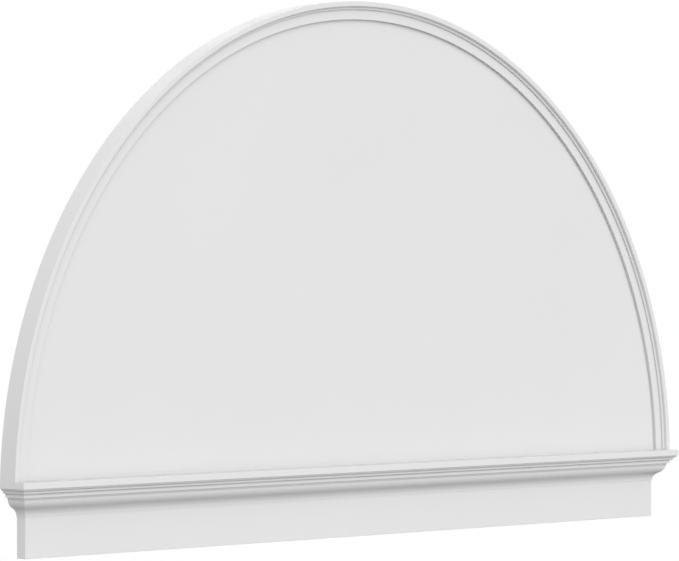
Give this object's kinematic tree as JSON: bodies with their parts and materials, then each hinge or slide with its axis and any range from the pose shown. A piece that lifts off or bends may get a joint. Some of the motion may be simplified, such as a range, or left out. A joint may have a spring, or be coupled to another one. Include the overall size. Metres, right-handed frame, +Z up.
{
  "type": "half round pediment",
  "caption": "Half round pediment for a door or window head: flat semicircular panel in a curved rim moulding, over a frieze board with a returned cornice.",
  "frame": {"origin": "the centre of the half circle on the wall plane, which is a point of the frieze board's flat back", "axes": "+Z up; +X along the width, to the right as seen from the front; the front faces -Y and the flat back lies on the wall at Y = 0"},
  "size_m": [1.6256, 0.0559, 0.9144],
  "materials": {
    "board_white": "smooth white cellular PVC sheet, satin",
    "moulding_white": "smooth white extruded cellular PVC moulding, satin"
  },
  "bodies": {
    "root": {"tympanum_panel": "board_white", "arch_moulding": "moulding_white", "frieze_board": "board_white", "cornice_front_moulding": "moulding_white", "cornice_left_return": "moulding_white", "cornice_right_return": "moulding_white"}
  },
  "joints": []
}
